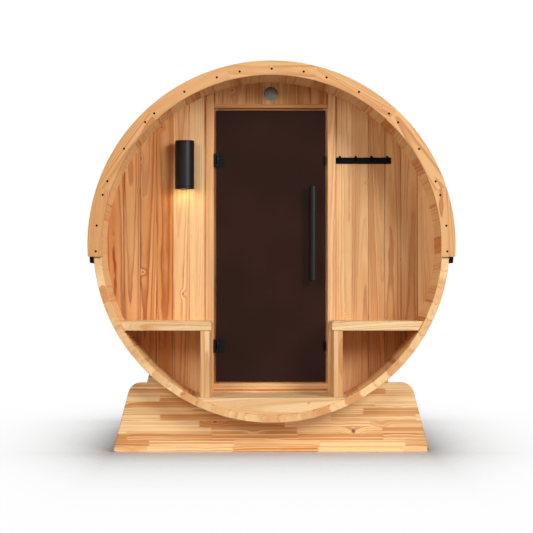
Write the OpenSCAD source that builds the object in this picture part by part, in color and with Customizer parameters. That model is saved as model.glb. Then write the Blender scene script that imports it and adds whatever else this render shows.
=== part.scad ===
// Barrel sauna with an open porch: a stave barrel on two saddle panels, with end
// walls let into the staves, a framed glass door, two porch benches and a lapped roof.
// Millimetres. +Z is up, the porch faces -Y, and the origin lies on the ground in the
// middle of the plan.

/* [Barrel] */
// Radius over the flat backs of the staves
barrel_r = 1065; // [1000:5:1130]
// Thickness of the staves
stave_t = 45; // [38:1:52]
// Number of staves round the barrel, a multiple of eight
stave_count = 64; // [48:8:80]
// Length of the staves
barrel_l = 2440; // [1900:10:3000]
// Height of the barrel's underside above the ground
barrel_lift = 195; // [150:5:260]
// Radius of the bead along a stave's edge
bead_r = 18; // [15:0.5:20]
// Height of the bead along a stave's edge
bead_rise = 8; // [5:0.5:10]
// Depth of the groove in the staves that holds an end wall
croze_depth = 10; // [6:1:15]

/* [Steel bands] */
// Number of bands round the barrel
band_count = 3; // [2:1:4]
// Width of a band
band_w = 32; // [20:1:50]
// Thickness of a band
band_t = 1.5; // [1:0.1:3]
// Distance from the barrel's ends to the middle of the outer bands
band_inset = 520; // [350:10:700]

/* [End walls] */
// Thickness of the end walls
wall_t = 45; // [35:1:60]
// Depth of the porch, from the barrel's front end to the wall
porch_depth = 420; // [360:5:600]
// Depth of the rear wall behind the barrel's rear end
rear_inset = 90; // [40:5:200]
// Height of the wall over the door, from the head of the frame to the crown
over_door_h = 135; // [110:1:200]

/* [Floor] */
// Height of the floor over the barrel's lowest inside line
floor_rise = 106; // [80:1:160]
// Thickness of the floor planks
plank_t = 22; // [18:1:35]
// Gap between floor planks
plank_gap = 6; // [3:0.5:12]
// Number of planks across the porch
porch_plank_count = 4; // [3:1:6]
// Number of planks across the cabin
cabin_plank_count = 8; // [6:1:12]
// Number of bearers under the cabin floor
bearer_count = 3; // [2:1:5]
// Thickness of the bearers and of the porch riser
bearer_t = 40; // [30:1:60]

/* [Door frame] */
// Width of a jamb seen from the front
jamb_w = 49; // [40:1:90]
// Height of the head rail seen from the front
header_h = 25; // [20:1:60]
// Height of the sill seen from the front
sill_h = 34; // [25:1:60]
// Height of the shadow gap under the sill
sill_toe = 20; // [10:1:40]
// How far the frame stands out in front of the wall
frame_proud = 18; // [8:1:30]
// How far the frame stands out inside the cabin
frame_proud_in = 12; // [5:1:25]
// How far the door stop laps behind the glass
stop_lap = 15; // [10:1:25]
// Gap between the back of the glass and the stop
stop_gap = 8; // [7:0.5:15]

/* [Door] */
// Width of the door glass
door_w = 682; // [600:2:760]
// Thickness of the door glass
glass_t = 8; // [6:1:12]
// Gap all round between the glass and the frame
door_gap = 14; // [6:1:20]
// How far the glass is set back from the front of the frame
glass_set = 12; // [8:1:16]
// Diameter of the outer bar handle
handle_d = 42; // [25:1:45]
// Length of the outer bar handle
handle_l = 590; // [400:2:900]
// Clear space between the glass and the outer bar
handle_space = 46; // [35:1:70]
// Distance from the handle's axis to the free edge of the glass
handle_edge = 80; // [60:1:150]
// Height of the handle's middle over the lower edge of the glass
handle_rise = 924; // [700:2:1100]
// Diameter of the inner wooden handle
inner_handle_d = 32; // [25:1:40]
// Length of the inner wooden handle
inner_handle_l = 420; // [300:5:600]

/* [Door hinges] */
// Height of a hinge
hinge_h = 83; // [60:1:120]
// Distance from the top of the glass to the middle of the upper hinge
hinge_top = 313; // [150:1:450]
// Distance from the bottom of the glass to the middle of the lower hinge
hinge_bottom = 223; // [120:1:400]
// Diameter of the hinge knuckles
knuckle_d = 18; // [14:0.5:24]
// Diameter of the hinge pins
hinge_pin_d = 8; // [6:0.5:10]
// Distance from the edge of the glass to the hinge axis
hinge_edge = 9.5; // [7:0.5:14]
// Length of the clamp plate on the glass
clamp_l = 46; // [35:1:70]
// Thickness of the clamp plates
clamp_t = 5; // [3:0.5:8]
// Thickness of the hinge leaf on the jamb
leaf_t = 3; // [2:0.5:5]

/* [Door catches] */
// Height of a catch clip
catch_h = 58; // [30:1:80]
// How far a catch clip reaches over the glass
catch_l = 16; // [10:1:30]
// Thickness of a catch clip
catch_t = 3; // [2:0.5:3.5]

/* [Benches] */
// Height of the bench tops over the floor
bench_rise = 453; // [400:1:520]
// Thickness of the bench tops
seat_t = 55; // [40:1:70]
// Radius of the rounded end of a bench top
seat_round = 22; // [8:1:30]
// Radius under the seat's end towards the door
seat_ease = 12; // [4:1:20]
// How far a bench top ends outside the edge of the glass
aisle_clear = 19; // [12:1:60]
// Thickness of the bench side panels
cheek_t = 54; // [40:1:70]
// How far a side panel stands back from the end of the bench top
cheek_setback = 12; // [4:1:20]
// How far the porch woodwork stands back from the barrel's front end
porch_setback = 8; // [4:1:20]

/* [Fascia] */
// How far the fascia rises outside the staves
fascia_rise = 33; // [28:1:50]
// How far the fascia laps inside the staves
fascia_lap = 8; // [1:0.5:12]
// Thickness of the fascia
fascia_t = 22; // [16:1:35]
// How far the fascia runs down below the barrel's axis
fascia_drop = 74; // [50:1:110]
// Number of segments in a fascia
fascia_count = 7; // [5:2:9]
// Angle of a whole fascia segment
fascia_angle = 28.7; // [24:0.1:30]
// Width of the joint between fascia segments
fascia_joint = 1; // [0.5:0.1:2]

/* [Roof] */
// Number of shingle courses on each side
course_count = 13; // [9:1:18]
// Half of the angle that the ridge strip covers
ridge_angle = 3.2; // [2:0.1:5]
// Thickness of a course at its lower edge
butt_t = 8; // [5:0.5:12]
// Thickness of a course at its upper edge
head_t = 4; // [2:0.5:5]
// Joint between courses
course_joint = 0.5; // [0.3:0.1:1]
// Height of the eave trims
eave_h = 80; // [50:1:110]
// Thickness of the eave trims
eave_t = 22; // [14:1:26]
// How far the eave trims show below the fascia
eave_show = 37; // [20:1:50]

/* [Saddles] */
// Width of a saddle panel at the ground
saddle_base_w = 1928; // [1700:4:2100]
// Width of a saddle panel across its top, corners squared up
saddle_top_w = 1710; // [1560:4:1800]
// Height of a saddle panel
saddle_h = 422; // [360:2:480]
// Radius of the upper corners
saddle_corner_r = 75; // [40:1:110]
// Thickness of a saddle panel
saddle_t = 57; // [40:1:80]
// Distance from the barrel's ends to the saddles
saddle_inset = 190; // [120:5:300]

/* [Lamp] */
// Diameter of the lamp
lamp_d = 119; // [90:1:130]
// Height of the lamp
lamp_h = 298; // [220:2:340]
// Wall thickness of the lamp
lamp_wall = 3; // [2:0.5:5]
// Distance from the jamb to the lamp's axis
lamp_side = 130; // [100:1:180]
// Clear height from the lamp up to the staves, over its outer edge
lamp_headroom = 180; // [100:2:300]
// Depth of the bracket between the wall and the lamp
lamp_stand = 18; // [10:1:40]
// Depth of the lens inside the lamp's mouth
lens_depth = 26; // [12:1:60]
// Thickness of the lens
lens_t = 6; // [4:0.5:10]

/* [Hooks] */
// Length of the hook rail
rail_l = 344; // [280:2:420]
// Height of the hook rail
rail_h = 39; // [25:1:50]
// Thickness of the hook rail
rail_t = 10; // [6:0.5:16]
// Gap between the jamb and the hook rail
rail_side = 1; // [1:0.5:20]
// Clear height from the rail up to the staves, over its outer end
rail_headroom = 140; // [80:2:250]
// Number of hooks
hook_count = 4; // [3:1:6]
// Diameter of a hook's shank
hook_d = 10; // [7:0.5:12]
// Diameter of the ball on a hook
hook_ball_d = 16; // [13:0.5:20]
// How far a hook reaches out from the rail
hook_reach = 26; // [18:1:45]
// How far a hook rises
hook_lift = 20; // [12:1:35]

/* [Vent] */
// Diameter of the vent's flange
vent_d = 84; // [70:1:100]
// Thickness of the vent's flange
vent_t = 5; // [3:0.5:8]
// Wall thickness of the vent's sleeve
vent_wall = 2; // [1.5:0.5:3]
// Width of the flange round the sleeve
vent_lip = 7; // [5:0.5:10]
// Gap behind the valve disc that lets the air through
vent_slot = 4; // [3:0.5:8]
// Thickness of the valve disc
vent_disc_t = 3; // [2:0.5:5]
// Height of the vent's middle over the head of the frame
vent_rise = 66; // [56:1:70]

/* [Hidden] */
$fn = 96;
barrel_facets = 720;

// General clearances
fit = 0.3;
pin_fit = 0.05;
knuckle_fit = 0.5;
overrun = 5;

// Barrel
axis_h = barrel_lift + barrel_r;
inner_r = barrel_r - stave_t;
stave_mid_r = (barrel_r + inner_r) / 2;
stave_angle = 360 / stave_count;
corner_r = barrel_r / cos(stave_angle / 2);
fit_r = inner_r - fit;
croze_r = inner_r + croze_depth;
wall_r = croze_r - fit;
front_y = -barrel_l / 2;
rear_y = barrel_l / 2;

// Bands and what lies on them
band_in_r = corner_r + fit;
band_out_r = band_in_r + band_t;
roof_r = band_out_r + fit;

// End walls
wall_y0 = front_y + porch_depth;
wall_y1 = wall_y0 + wall_t;
rear_wall_y1 = rear_y - rear_inset;
rear_wall_y0 = rear_wall_y1 - wall_t;

// Floor
floor_z = axis_h - inner_r + floor_rise;
bearer_z = floor_z - plank_t;
porch_y0 = front_y + porch_setback;

// Door frame and glass
frame_y0 = wall_y0 - frame_proud;
frame_y1 = wall_y1 + frame_proud_in;
glass_y0 = frame_y0 + glass_set;
glass_y1 = glass_y0 + glass_t;
stop_y0 = glass_y1 + stop_gap;
glass_x = door_w / 2;
jamb_x0 = glass_x + door_gap;
jamb_x1 = jamb_x0 + jamb_w;
stop_x = glass_x - stop_lap;
sill_z0 = floor_z + sill_toe;
sill_z1 = sill_z0 + sill_h;
glass_z0 = sill_z1 + door_gap;
header_z1 = axis_h + inner_r - over_door_h;
header_z0 = header_z1 - header_h;
glass_z1 = header_z0 - door_gap;
stop_z0 = glass_z0 + stop_lap - door_gap / 2;
stop_z1 = glass_z1 - stop_lap + door_gap / 2;

// Hinges and catches
hinge_x = -glass_x + hinge_edge;
hinge_y = glass_y0 - knuckle_d / 2 - fit;
hinge_zs = [glass_z0 + hinge_bottom, glass_z1 - hinge_top];
knuckle_end_share = 0.24;
knuckle_end_h = hinge_h * knuckle_end_share;

// Handles
handle_x = glass_x - handle_edge;
handle_z = glass_z0 + handle_rise;
handle_chamfer_share = 0.08;
post_d_share = 0.5;
post_span_share = 0.68;

// Benches
seat_x = glass_x + aisle_clear;
seat_z1 = floor_z + bench_rise;
seat_z0 = seat_z1 - seat_t;
cheek_x0 = seat_x + cheek_setback;
cheek_x1 = cheek_x0 + cheek_t;

// Fascia
fascia_in_r = inner_r - fascia_lap;
fascia_out_r = barrel_r + fascia_rise;
fascia_joint_angle = 2 * asin(fascia_joint / 2 / fascia_in_r);

// Roof
eave_mid_r = roof_r + eave_t / 2;
eave_angle = asin((fascia_drop + eave_show - eave_h / 2) / eave_mid_r);
eave_top_angle = eave_angle - atan((eave_h / 2 + course_joint) / roof_r);
course_angle = (90 - ridge_angle + eave_top_angle) / course_count;

// Saddles
saddle_slope = atan((saddle_base_w - saddle_top_w) / 2 / saddle_h);
saddle_tangent = saddle_corner_r / tan((90 + saddle_slope) / 2);
saddle_seat_r = corner_r + fit;

// Lamp
lamp_r = lamp_d / 2;
lamp_x = -jamb_x1 - lamp_side;
lamp_y = wall_y0 - lamp_stand - lamp_r;
lamp_z0 = axis_h + sqrt(pow(inner_r, 2) - pow(lamp_x - lamp_r, 2)) - lamp_headroom - lamp_h;
bracket_w_share = 0.55;
bracket_h_share = 0.4;
lamp_rim_share = 0.5;

// Hooks
rail_x0 = jamb_x1 + rail_side;
rail_z = axis_h + sqrt(pow(inner_r, 2) - pow(rail_x0 + rail_l, 2)) - rail_headroom - rail_h / 2;
rail_bevel_share = 0.3;
hook_end_share = 0.07;

// Vent
vent_z = header_z1 + vent_rise;
vent_hole_r = vent_d / 2 - vent_lip;
vent_disc_r = vent_hole_r + vent_wall;
vent_stem_share = 0.12;
vent_rib_count = 2;
vent_sleeve_share = 0.6;

wood = "burlywood";
board = "tan";
black = "#202124";
shingle = "#2b2d30";

// Shared shapes

// A section drawn in X and Z, extruded from y0 to y1
module along_y(y0, y1) {
    translate([0, y1, 0]) rotate([90, 0, 0]) linear_extrude(y1 - y0) children();
}

module box(x0, x1, y0, y1, z0, z1) {
    translate([x0, y0, z0]) cube([x1 - x0, y1 - y0, z1 - z0]);
}

module rectangle(x0, x1, z0, z1) {
    translate([x0, z0]) square([x1 - x0, z1 - z0]);
}

// A disc round the barrel's axis, in X and Z
module axis_disc(r) {
    translate([0, axis_h]) circle(r, $fn = barrel_facets);
}

// What is inside a cylinder round the barrel's axis
module within_barrel(r) {
    intersection() {
        children();
        along_y(front_y - overrun, rear_y + overrun) axis_disc(r);
    }
}

module mirrored_x() {
    mirror([1, 0, 0]) children();
}

// Staves

// One stave's section, radius upwards: a wedge with a bead on one edge and its cove on the other
module stave_section() {
    half = stave_angle / 2;
    edge = fit / 2 / cos(half);
    x_out = barrel_r * tan(half) - edge;
    x_in = inner_r * tan(half) - edge;
    difference() {
        union() {
            polygon([[-x_in, inner_r], [x_in, inner_r], [x_out, barrel_r], [-x_out, barrel_r]]);
            rotate(-half) translate([bead_rise - bead_r, stave_mid_r]) circle(bead_r);
        }
        rotate(half) translate([bead_rise - bead_r, stave_mid_r]) circle(bead_r + fit);
    }
}

// Staves first to last, counted from the crown, with both end-wall grooves
module staves(first, last) {
    color(wood) for (i = [first:last]) difference() {
        along_y(front_y, rear_y)
            translate([0, axis_h]) rotate(-i * stave_angle) stave_section();
        along_y(wall_y0 - fit, wall_y1 + fit) axis_disc(croze_r);
        along_y(rear_wall_y0 - fit, rear_wall_y1 + fit) axis_disc(croze_r);
    }
}

module top_staves() { staves(-stave_count / 8, stave_count / 8); }
module right_staves() { staves(stave_count / 8 + 1, stave_count * 3 / 8 - 1); }
module bottom_staves() { staves(stave_count * 3 / 8, stave_count * 5 / 8); }
module left_staves() { staves(stave_count * 5 / 8 + 1, stave_count * 7 / 8 - 1); }

module steel_bands() {
    pitch = (barrel_l - 2 * band_inset) / (band_count - 1);
    color("silver") for (i = [0:band_count - 1]) {
        y = front_y + band_inset + i * pitch;
        along_y(y - band_w / 2, y + band_w / 2) difference() {
            axis_disc(band_out_r);
            axis_disc(band_in_r);
        }
    }
}

// End walls

module wall_panel(y0, y1) {
    color(board) along_y(y0, y1) intersection() {
        axis_disc(wall_r);
        children();
    }
}

module front_wall_left() {
    wall_panel(wall_y0, wall_y1) rectangle(-wall_r, -jamb_x1, floor_z, axis_h + wall_r);
}

module front_wall_right() { mirrored_x() front_wall_left(); }

module front_wall_over_door() {
    difference() {
        wall_panel(wall_y0, wall_y1)
            rectangle(-jamb_x0, jamb_x0, header_z1, axis_h + wall_r);
        along_y(wall_y0 - overrun, wall_y1 + overrun)
            translate([0, vent_z]) circle(vent_hole_r + fit);
    }
}

module front_wall_under_door() {
    wall_panel(wall_y0, wall_y1) rectangle(-wall_r, wall_r, axis_h - wall_r, floor_z);
}

module rear_wall() {
    wall_panel(rear_wall_y0, rear_wall_y1) rectangle(-wall_r, wall_r, axis_h - wall_r, axis_h + wall_r);
}

// Door frame

// A post cut at its head to the curve of the staves, with a stop up to the head rail
module right_jamb() {
    color(wood) within_barrel(fit_r) union() {
        box(jamb_x0, jamb_x1, frame_y0, frame_y1, floor_z, axis_h + inner_r);
        box(stop_x, jamb_x0, stop_y0, frame_y1, floor_z, header_z1);
    }
}

module left_jamb() { mirrored_x() right_jamb(); }

module door_header() {
    color(wood) union() {
        box(-jamb_x0, jamb_x0, frame_y0, stop_y0, header_z0, header_z1);
        box(-stop_x, stop_x, stop_y0, frame_y1, stop_z1, header_z1);
    }
}

module door_sill() {
    color(wood) union() {
        box(-jamb_x0, jamb_x0, frame_y0, wall_y0, sill_z0, sill_z1);
        box(-jamb_x0, jamb_x0, wall_y0, stop_y0, floor_z, sill_z1);
        box(-stop_x, stop_x, stop_y0, frame_y1, floor_z, stop_z0);
    }
}

// Floors

module porch_floor() {
    start = porch_y0 + bearer_t + fit;
    run = wall_y0 - fit - start;
    pitch = (run + plank_gap) / porch_plank_count;
    color(wood) within_barrel(fit_r) for (i = [0:porch_plank_count - 1])
        box(-inner_r, inner_r, start + i * pitch, start + (i + 1) * pitch - plank_gap,
            bearer_z, floor_z);
}

// A board that fills the barrel's round bottom up to a level
module round_bottom_board(y0, top) {
    color(wood) along_y(y0, y0 + bearer_t) intersection() {
        axis_disc(fit_r);
        rectangle(-inner_r, inner_r, axis_h - inner_r, top);
    }
}

// In front of the planks, level with them
module porch_riser() { round_bottom_board(porch_y0, floor_z); }

module cabin_floor() {
    half_w = sqrt(pow(fit_r, 2) - pow(axis_h - bearer_z, 2));
    pitch = (2 * half_w + plank_gap) / cabin_plank_count;
    color(wood) within_barrel(fit_r) for (i = [0:cabin_plank_count - 1])
        box(-half_w + i * pitch, -half_w + (i + 1) * pitch - plank_gap,
            wall_y1 + fit, rear_wall_y0 - fit, bearer_z, floor_z);
}

module floor_bearers() {
    pitch = (rear_wall_y0 - wall_y1) / bearer_count;
    for (i = [0:bearer_count - 1])
        round_bottom_board(wall_y1 + (i + 0.5) * pitch - bearer_t / 2, bearer_z);
}

// Porch benches

// A thick board with its end towards the door rounded, the other cut to the staves, and a
// notch round the jamb
module right_bench_top() {
    color(wood) difference() {
        along_y(porch_y0, wall_y0 - fit) intersection() {
            axis_disc(fit_r);
            union() {
                rectangle(seat_x, inner_r, seat_z0 + seat_ease, seat_z1 - seat_round);
                rectangle(seat_x + seat_round, inner_r, seat_z0, seat_z1);
                rectangle(seat_x + seat_ease, inner_r, seat_z0, seat_z1 - seat_round);
                translate([seat_x + seat_round, seat_z1 - seat_round]) circle(seat_round);
                translate([seat_x + seat_ease, seat_z0 + seat_ease]) circle(seat_ease);
            }
        }
        box(0, jamb_x1 + fit, frame_y0 - fit, wall_y0, seat_z0 - overrun, seat_z1 + overrun);
    }
}

module left_bench_top() { mirrored_x() right_bench_top(); }

module right_bench_side() {
    color(wood) within_barrel(fit_r)
        box(cheek_x0, cheek_x1, porch_y0 + porch_setback, frame_y0 - fit, floor_z, seat_z0);
}

module left_bench_side() { mirrored_x() right_bench_side(); }

// Roof

// The part of the plane between two rays from the barrel's axis
module wedge(from, to, r) {
    far = r / cos((to - from) / 2);
    translate([0, axis_h]) polygon([
        [0, 0], [far * cos(from), far * sin(from)], [far * cos(to), far * sin(to)]
    ]);
}

// Segments butted round the arch, the lowest two cut level below the axis
module fascia(y0) {
    color(wood) for (i = [0:fascia_count - 1]) {
        mid = 90 + (i - (fascia_count - 1) / 2) * fascia_angle;
        half = (fascia_angle - fascia_joint_angle) / 2;
        along_y(y0, y0 + fascia_t) intersection() {
            difference() {
                axis_disc(fascia_out_r);
                axis_disc(fascia_in_r);
            }
            wedge(mid - half, mid + half, fascia_out_r + overrun);
            rectangle(-fascia_out_r, fascia_out_r, axis_h - fascia_drop, axis_h + fascia_out_r);
        }
    }
}

module front_fascia() { fascia(front_y - fascia_t); }
module rear_fascia() { fascia(rear_y); }

// A course lies flat on the bands, thicker at its lower edge
module right_course(angle) {
    half_w = roof_r * tan(course_angle / 2) - course_joint / 2;
    along_y(front_y, rear_y) translate([0, axis_h]) rotate(angle - 90) polygon([
        [-half_w, roof_r], [half_w, roof_r], [half_w, roof_r + butt_t], [-half_w, roof_r + head_t]
    ]);
}

module roof_shingles() {
    ridge_w = roof_r * tan(ridge_angle) - course_joint / 2;
    color(shingle) {
        for (i = [0:course_count - 1]) {
            angle = -eave_top_angle + (i + 0.5) * course_angle;
            right_course(angle);
            mirrored_x() right_course(angle);
        }
        along_y(front_y, rear_y)
            rectangle(-ridge_w, ridge_w, axis_h + roof_r, axis_h + roof_r + butt_t);
    }
}

module right_eave_trim() {
    color(black) along_y(front_y, rear_y) translate([0, axis_h]) rotate(-eave_angle)
        rectangle(roof_r, roof_r + eave_t, -eave_h / 2, eave_h / 2);
}

module left_eave_trim() { mirrored_x() right_eave_trim(); }

// Saddles

// A trapezium with rounded upper corners, hollowed to the barrel
module saddle(y0) {
    x_top = saddle_top_w / 2;
    x_flat = x_top - saddle_tangent;
    x_side = x_top + saddle_tangent * sin(saddle_slope);
    z_side = saddle_h - saddle_tangent * cos(saddle_slope);
    x_base = saddle_base_w / 2;
    color(wood) along_y(y0, y0 + saddle_t) difference() {
        union() {
            polygon([
                [-x_base, 0], [x_base, 0], [x_side, z_side], [x_flat, saddle_h],
                [-x_flat, saddle_h], [-x_side, z_side]
            ]);
            for (side = [-1, 1])
                translate([side * x_flat, saddle_h - saddle_corner_r]) circle(saddle_corner_r);
        }
        axis_disc(saddle_seat_r);
    }
}

module front_saddle() { saddle(front_y + saddle_inset); }
module rear_saddle() { saddle(rear_y - saddle_inset - saddle_t); }

// Lamp

module at_lamp() {
    translate([lamp_x, lamp_y, lamp_z0]) children();
}

// A tube closed at the top, with a ledge that carries the lens
module lamp_housing() {
    bore_r = lamp_r - lamp_wall;
    ledge_z = lens_depth + lens_t + fit;
    ledge_r = bore_r - lamp_wall;
    color(black) at_lamp() rotate_extrude() polygon([
        [bore_r, 0], [lamp_r - lamp_wall * lamp_rim_share, 0], [lamp_r, lamp_wall * lamp_rim_share],
        [lamp_r, lamp_h - lamp_wall * lamp_rim_share], [lamp_r - lamp_wall * lamp_rim_share, lamp_h],
        [0, lamp_h], [0, lamp_h - lamp_wall], [bore_r, lamp_h - lamp_wall],
        [bore_r, ledge_z + lamp_wall], [ledge_r, ledge_z + lamp_wall], [ledge_r, ledge_z],
        [bore_r, ledge_z]
    ]);
}

module lamp_lens() {
    color("ivory") at_lamp() translate([0, 0, lens_depth])
        cylinder(r = lamp_r - lamp_wall - fit, h = lens_t);
}

module lamp_bracket() {
    half_w = lamp_d * bracket_w_share / 2;
    half_h = lamp_h * bracket_h_share / 2;
    middle = lamp_z0 + lamp_h / 2;
    color(black) difference() {
        box(lamp_x - half_w, lamp_x + half_w, lamp_y, wall_y0, middle - half_h, middle + half_h);
        at_lamp() cylinder(r = lamp_r + fit, h = lamp_h);
    }
}

// Hooks

module hook_rail() {
    half_h = rail_h / 2;
    bevel = rail_t * rail_bevel_share;
    color(black) translate([rail_x0, 0, rail_z]) rotate([90, 0, 90]) linear_extrude(rail_l) polygon([
        [wall_y0, -half_h], [wall_y0, half_h], [wall_y0 - rail_t + bevel, half_h],
        [wall_y0 - rail_t, half_h - bevel], [wall_y0 - rail_t, bevel - half_h],
        [wall_y0 - rail_t + bevel, -half_h]
    ]);
}

// A shank that leaves the rail at a slant and ends in a ball
module coat_hook() {
    slant = atan(hook_reach / hook_lift);
    shank = sqrt(pow(hook_reach, 2) + pow(hook_lift, 2));
    difference() {
        union() {
            rotate([slant, 0, 0]) translate([0, 0, -hook_d]) cylinder(d = hook_d, h = shank + hook_d);
            translate([0, -hook_reach, hook_lift]) sphere(d = hook_ball_d);
        }
        box(-hook_d, hook_d, 0, 2 * hook_d, -2 * hook_d, 2 * hook_d);
    }
}

module coat_hooks() {
    first = rail_l * hook_end_share;
    pitch = (rail_l - 2 * first) / (hook_count - 1);
    color(black) for (i = [0:hook_count - 1])
        translate([rail_x0 + first + i * pitch, wall_y0 - rail_t, rail_z]) coat_hook();
}

// Vent

// A flanged sleeve, with a valve disc in front of it on a stem that crossed ribs carry
module vent_cover() {
    sleeve_r = vent_hole_r;
    sleeve_l = wall_t * vent_sleeve_share;
    rib_x = sleeve_r - vent_wall / 2;
    disc_z = vent_t + vent_slot + vent_disc_t / 2;
    color("silver") translate([0, wall_y0, vent_z]) rotate([-90, 0, 0]) union() {
        rotate_extrude() polygon([
            [sleeve_r - vent_wall, sleeve_l], [sleeve_r, sleeve_l], [sleeve_r, 0], [vent_d / 2, 0],
            [vent_d / 2, -vent_t / 2], [sleeve_r, -vent_t], [sleeve_r - vent_wall, -vent_t]
        ]);
        translate([0, 0, -disc_z - vent_disc_t / 2]) cylinder(r = vent_disc_r, h = vent_disc_t);
        translate([0, 0, -disc_z]) cylinder(r = vent_disc_r * vent_stem_share, h = disc_z + vent_t);
        for (i = [0:vent_rib_count - 1])
            rotate(i * 180 / vent_rib_count)
                box(-rib_x, rib_x, -vent_wall / 2, vent_wall / 2, -vent_t / 2, vent_t / 2);
    }
}

// Door

module door_glass() {
    color("#3a221c") box(-glass_x, glass_x, glass_y0, glass_y1, glass_z0, glass_z1);
}

// The half on the jamb: a leaf, two arms with the end knuckles, and the pin
module hinge_bracket() {
    half_h = hinge_h / 2;
    color(black) union() {
        box(-jamb_x0, -jamb_x0 + leaf_t, hinge_y - knuckle_d / 2, glass_y1, -half_h, half_h);
        translate([hinge_x, hinge_y, -half_h]) cylinder(d = hinge_pin_d, h = hinge_h);
        for (z = [-half_h, half_h - knuckle_end_h]) translate([0, 0, z]) {
            translate([hinge_x, hinge_y, 0]) cylinder(d = knuckle_d, h = knuckle_end_h);
            box(-jamb_x0, hinge_x, hinge_y - knuckle_d / 2, hinge_y, 0, knuckle_end_h);
        }
    }
}

module hinge_brackets() {
    for (z = hinge_zs) translate([0, 0, z]) hinge_bracket();
}

// The half on the glass: the middle knuckle with the front plate, and the back plate
module hinge_clamp() {
    half_h = hinge_h / 2;
    half_knuckle = half_h - knuckle_end_h - knuckle_fit;
    plate_x0 = hinge_x + knuckle_d / 2 + knuckle_fit;
    plate_x1 = hinge_x + clamp_l;
    color(black) {
        difference() {
            union() {
                box(plate_x0, plate_x1, glass_y0 - clamp_t, glass_y0, -half_h, half_h);
                box(hinge_x, plate_x0, glass_y0 - clamp_t, glass_y0, -half_knuckle, half_knuckle);
                translate([hinge_x, hinge_y, -half_knuckle]) cylinder(d = knuckle_d, h = 2 * half_knuckle);
            }
            translate([hinge_x, hinge_y, -half_h]) cylinder(d = hinge_pin_d + 2 * pin_fit, h = hinge_h);
        }
        box(plate_x0, plate_x1, glass_y1, glass_y1 + clamp_t, -half_h, half_h);
    }
}

module hinge_clamps() {
    for (z = hinge_zs) translate([0, 0, z]) hinge_clamp();
}

// A round bar with chamfered ends, standing on two posts off the glass
module bar_handle(d, length, space) {
    r = d / 2;
    chamfer = d * handle_chamfer_share;
    reach = space + r;
    span = length * post_span_share;
    translate([0, -reach, -length / 2]) {
        cylinder(r1 = r - chamfer, r2 = r, h = chamfer);
        translate([0, 0, chamfer]) cylinder(r = r, h = length - 2 * chamfer);
        translate([0, 0, length - chamfer]) cylinder(r1 = r, r2 = r - chamfer, h = chamfer);
    }
    for (z = [-span / 2, span / 2])
        translate([0, 0, z]) rotate([90, 0, 0]) cylinder(d = d * post_d_share, h = reach);
}

module outer_handle() {
    color(black) translate([handle_x, glass_y0, handle_z]) bar_handle(handle_d, handle_l, handle_space);
}

module inner_handle() {
    color(wood) translate([handle_x, glass_y1, handle_z]) mirror([0, 1, 0])
        bar_handle(inner_handle_d, inner_handle_l, handle_space);
}

// Clips over the free edge of the glass
module door_catches() {
    color(black) for (z = hinge_zs) difference() {
        box(glass_x - catch_l, glass_x + catch_t, glass_y0 - catch_t, glass_y1 + catch_t,
            z - catch_h / 2, z + catch_h / 2);
        box(glass_x - catch_l - overrun, glass_x, glass_y0, glass_y1, z - catch_h, z + catch_h);
    }
}

top_staves();
left_staves();
right_staves();
bottom_staves();
steel_bands();
front_wall_left();
front_wall_right();
front_wall_over_door();
front_wall_under_door();
rear_wall();
left_jamb();
right_jamb();
door_header();
door_sill();
porch_floor();
porch_riser();
cabin_floor();
floor_bearers();
left_bench_top();
left_bench_side();
right_bench_top();
right_bench_side();
front_fascia();
rear_fascia();
roof_shingles();
left_eave_trim();
right_eave_trim();
front_saddle();
rear_saddle();
lamp_housing();
lamp_bracket();
lamp_lens();
hook_rail();
coat_hooks();
vent_cover();
hinge_brackets();
door_glass();
hinge_clamps();
outer_handle();
inner_handle();
door_catches();
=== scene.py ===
import math

import bmesh
import bpy
import numpy as np
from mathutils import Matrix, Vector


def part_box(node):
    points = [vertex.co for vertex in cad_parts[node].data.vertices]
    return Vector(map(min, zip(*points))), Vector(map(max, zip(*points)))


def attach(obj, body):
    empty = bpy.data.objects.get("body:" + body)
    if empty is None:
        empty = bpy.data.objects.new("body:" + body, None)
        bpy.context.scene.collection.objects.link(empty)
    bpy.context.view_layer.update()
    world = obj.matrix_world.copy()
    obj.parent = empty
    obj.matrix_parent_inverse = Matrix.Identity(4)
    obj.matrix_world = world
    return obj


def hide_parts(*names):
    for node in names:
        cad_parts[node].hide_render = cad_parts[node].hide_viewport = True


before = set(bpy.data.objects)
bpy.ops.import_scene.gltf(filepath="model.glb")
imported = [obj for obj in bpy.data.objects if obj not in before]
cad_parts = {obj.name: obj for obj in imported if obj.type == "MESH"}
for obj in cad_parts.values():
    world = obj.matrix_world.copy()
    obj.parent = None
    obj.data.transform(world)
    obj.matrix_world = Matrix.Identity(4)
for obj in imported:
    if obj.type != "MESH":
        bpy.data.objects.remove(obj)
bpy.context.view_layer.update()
scene = bpy.context.scene
rng = np.random.default_rng(64)

# Sizes are in metres, and named angles in degrees: X is right, Y goes back, and Z is up
X, Y, Z = range(3)
RIGHT, BACK, UP = np.eye(3)
SIDES = ((-1, "left"), (1, "right"))
ENDS = ((-1, "front"), (1, "rear"))
TINY = 1e-6


def extent(node, axis):
    """The lowest and highest place of one of the frame's solids along an axis."""
    return tuple(round(corner[axis], 5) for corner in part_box(node))


# Sizes of the barrel
STAVE_COUNT, STAVE_T, STAVE_EASE = 64, 0.045, 0.0022
BEAD_R, BEAD_RISE, JOINT_GAP = 0.018, 0.008, 0.0003
STAVE_OUTER = extent("right_staves", X)[1]
STAVE_INNER = STAVE_OUTER - STAVE_T
LINING_R = STAVE_INNER - JOINT_GAP
AXIS = extent("top_staves", Z)[1] - STAVE_OUTER
BARREL_END = extent("top_staves", Y)[1]

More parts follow.
